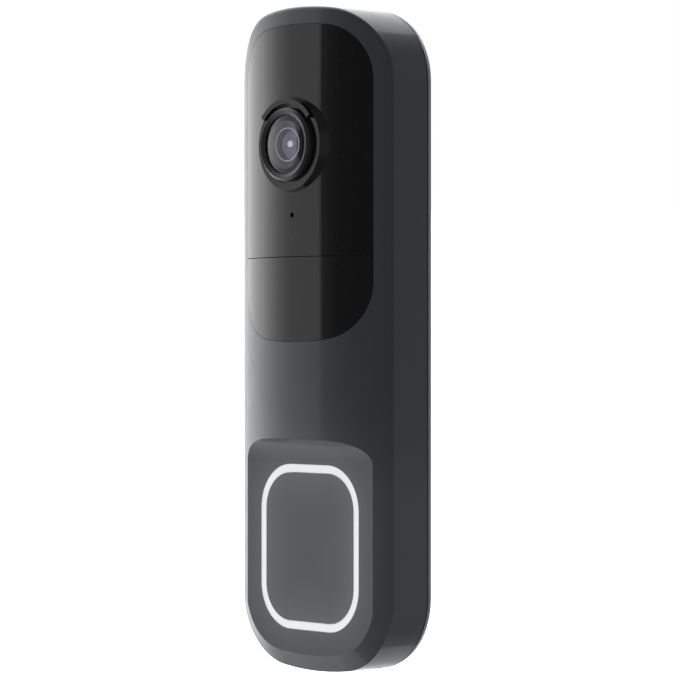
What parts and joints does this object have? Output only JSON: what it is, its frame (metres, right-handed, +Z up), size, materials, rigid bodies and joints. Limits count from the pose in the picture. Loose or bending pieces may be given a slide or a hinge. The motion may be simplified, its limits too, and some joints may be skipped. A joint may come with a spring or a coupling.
{
  "type": "video doorbell",
  "caption": "Slim upright video doorbell with a hooded camera under black glass, a motion window and a press button inside a glowing rounded band, on a screw-on wall bracket.",
  "frame": {"origin": "centre of the doorbell's height and width, on the wall plane behind the bracket", "axes": "+Z up the wall, +Y into the wall, the front faces -Y"},
  "size_m": [0.0484, 0.0216, 0.144],
  "materials": {
    "bracket_plastic": "moulded, fine grain",
    "housing_plastic": "fine moulded texture",
    "graphite_shell": "satin graphite, fine texture",
    "black_glass": "high gloss, infrared-transparent black",
    "pir_black": "semi-gloss, infrared-transparent black",
    "fresnel_plastic": "translucent polyethylene",
    "collar_plastic": "polished black",
    "barrel_metal": "black anodised",
    "lens_glass": "coated optical glass",
    "stop_metal": "turned edge",
    "holder_plastic": "glass-filled",
    "sensor_chip": "bare sensor under cover glass",
    "board": "solder mask",
    "chip_black": "moulded package",
    "tin_shield": "tinned steel",
    "led_clear": "clear epoxy",
    "silicone": "silicone",
    "light_guide": "clear",
    "band_diffuser": "milky diffuser, lit from behind",
    "button_plastic": "satin",
    "switch_plastic": "moulded",
    "screw_steel": "zinc plated",
    "screw_black": "black oxide",
    "flex": "polyimide",
    "cell_foil": "laminated foil pouch",
    "foam": "closed-cell foam",
    "connector": "nylon",
    "speaker_frame": "moulded",
    "diaphragm": "coated film",
    "mesh": "acoustic mesh",
    "antenna_copper": "copper strip",
    "terminal_plastic": "glass-filled nylon",
    "terminal_brass": "nickel-free brass",
    "nylon_washer": "nylon",
    "plunger": "acetal"
  },
  "bodies": {
    "bracket": {"wall_bracket": "bracket_plastic"},
    "unit": {"rear_housing": "housing_plastic", "perimeter_seal": "silicone", "case_screws": "screw_steel", "front_shell": "graphite_shell", "camera_glass": "black_glass", "pir_window": "pir_black", "fresnel_lens": "fresnel_plastic", "camera_collar": "collar_plastic", "lens_barrel": "barrel_metal", "lens_dome": "lens_glass", "lens_stop": "stop_metal", "lens_inner": "lens_glass", "lens_holder": "holder_plastic", "image_sensor": "sensor_chip", "camera_board": "board", "main_board": "board", "processor": "chip_black", "radio_shield": "tin_shield", "power_components": "chip_black", "ir_leds": "led_clear", "microphone": "tin_shield", "mic_gasket": "silicone", "light_sensor": "led_clear", "light_pipe": "light_guide", "pir_sensor": "tin_shield", "board_screws": "screw_steel", "light_band": "band_diffuser", "button_board": "board", "band_leds": "led_clear", "tactile_switch": "switch_plastic", "button_board_screws": "screw_steel", "flex_cable": "flex", "battery_foam": "foam", "battery_cell": "cell_foil", "battery_lead": "flex", "battery_connector": "connector", "speaker": "speaker_frame", "speaker_diaphragm": "diaphragm", "speaker_gasket": "foam", "speaker_duct": "holder_plastic", "speaker_mesh": "mesh", "antenna": "antenna_copper", "terminal_washer_left": "terminal_brass", "terminal_washer_right": "terminal_brass", "terminal_block": "terminal_plastic", "terminal_contacts": "terminal_brass", "tamper_switch": "switch_plastic", "lock_washer": "nylon_washer"},
    "button": {"button_pad": "button_plastic"},
    "actuator": {"switch_actuator": "plunger"},
    "tamper": {"tamper_plunger": "plunger"},
    "lock_screw": {"lock_screw": "screw_black"},
    "terminal_screw_left": {"terminal_screw_left": "screw_steel"},
    "terminal_screw_right": {"terminal_screw_right": "screw_steel"}
  },
  "joints": [
    {"name": "unit_lift", "type": "slide", "parent": "bracket", "child": "unit", "axis": [0, 0, 1], "range_m": [0, 0.0065]},
    {"name": "button_press", "type": "slide", "parent": "unit", "child": "button", "axis": [0, 1, 0], "range_m": [0, 0.0005], "stiffness_N_per_m": 3000, "springref_m": -0.0002},
    {"name": "switch_press", "type": "slide", "parent": "unit", "child": "actuator", "axis": [0, 1, 0], "range_m": [0, 0.0005]},
    {"name": "tamper_press", "type": "slide", "parent": "unit", "child": "tamper", "axis": [0, -1, 0], "range_m": [0, 0.0006], "stiffness_N_per_m": 400, "springref_m": -0.0005},
    {"name": "lock_screw_turn", "type": "hinge", "parent": "unit", "child": "lock_screw", "pos_m": [0, -0.0047, -0.0706], "axis": [0, 0, -1], "range_deg": [0, 2160]},
    {"name": "terminal_left_turn", "type": "hinge", "parent": "unit", "child": "terminal_screw_left", "pos_m": [-0.004, -0.004, 0.02], "axis": [0, 1, 0], "range_deg": [0, 540]},
    {"name": "terminal_right_turn", "type": "hinge", "parent": "unit", "child": "terminal_screw_right", "pos_m": [0.004, -0.004, 0.02], "axis": [0, 1, 0], "range_deg": [0, 540]}
  ],
  "couplings": [
    {"joint": "switch_press", "follows": "button_press", "ratio": 1}
  ]
}
